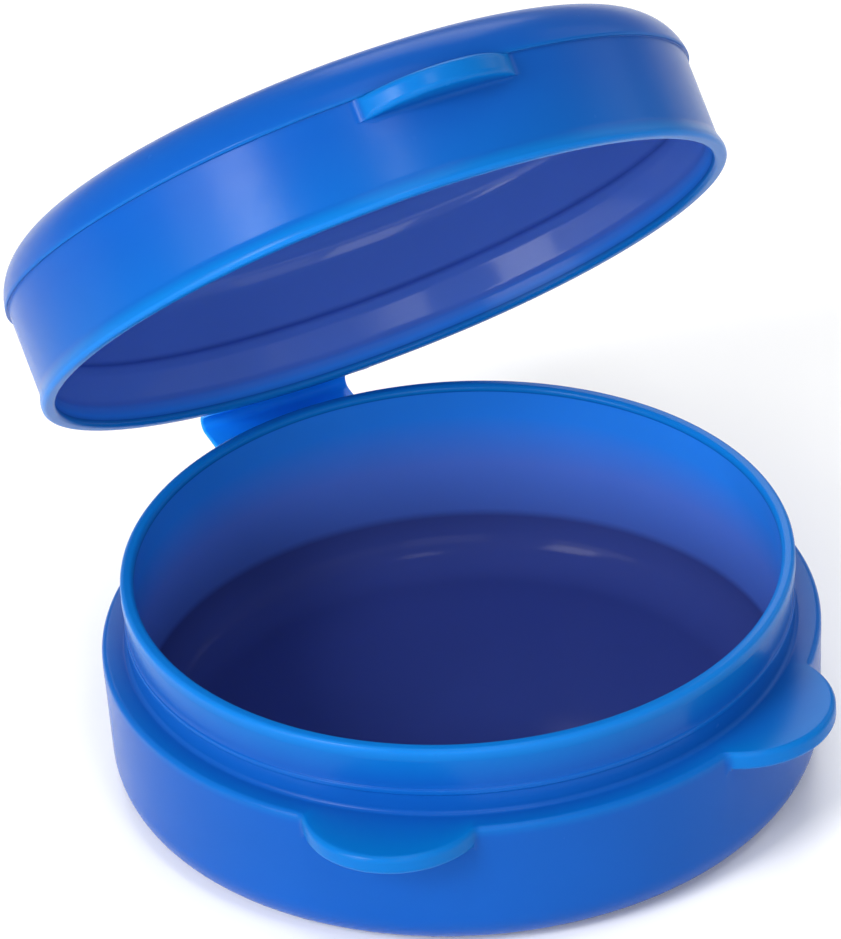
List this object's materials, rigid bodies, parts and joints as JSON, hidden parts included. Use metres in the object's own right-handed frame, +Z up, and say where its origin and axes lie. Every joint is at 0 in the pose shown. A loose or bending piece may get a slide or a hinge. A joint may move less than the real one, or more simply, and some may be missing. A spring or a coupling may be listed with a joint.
{
  "type": "pill box",
  "caption": "Round one-handed pill box of blue moulded plastic: a shallow cup with a snap neck, and a flip-top lid on a living hinge.",
  "frame": {"origin": "centre of the round underside that the box stands on", "axes": "+Z up along the axis of the round cup, +Y towards the hinge, -Y towards the lid's thumb tab when the lid is shut"},
  "size_m": [0.0454, 0.0519, 0.0524],
  "materials": {
    "base_plastic": "satin",
    "lid_plastic": "satin",
    "hinge_plastic": "satin"
  },
  "bodies": {
    "base": {"base_floor": "base_plastic", "base_bowl": "base_plastic", "base_shoulder": "base_plastic", "neck_collar": "base_plastic", "neck_rib": "base_plastic", "base_tab_left": "base_plastic", "base_tab_right": "base_plastic", "base_hinge_leaf": "hinge_plastic", "hinge_film": "hinge_plastic"},
    "lid": {"lid_hinge_leaf": "hinge_plastic", "lid_lip": "lid_plastic", "lid_skirt": "lid_plastic", "lid_snap_bead": "lid_plastic", "lid_crown": "lid_plastic", "lid_top": "lid_plastic", "lid_tab": "lid_plastic"}
  },
  "joints": [
    {"name": "lid_hinge", "type": "hinge", "parent": "base", "child": "lid", "pos_m": [0, 0.02785, 0.01025], "axis": [-1, 0, 0], "range_deg": [-46.4, 133.6], "stiffness_Nm_per_rad": 0.001, "springref_deg": 23.53}
  ]
}
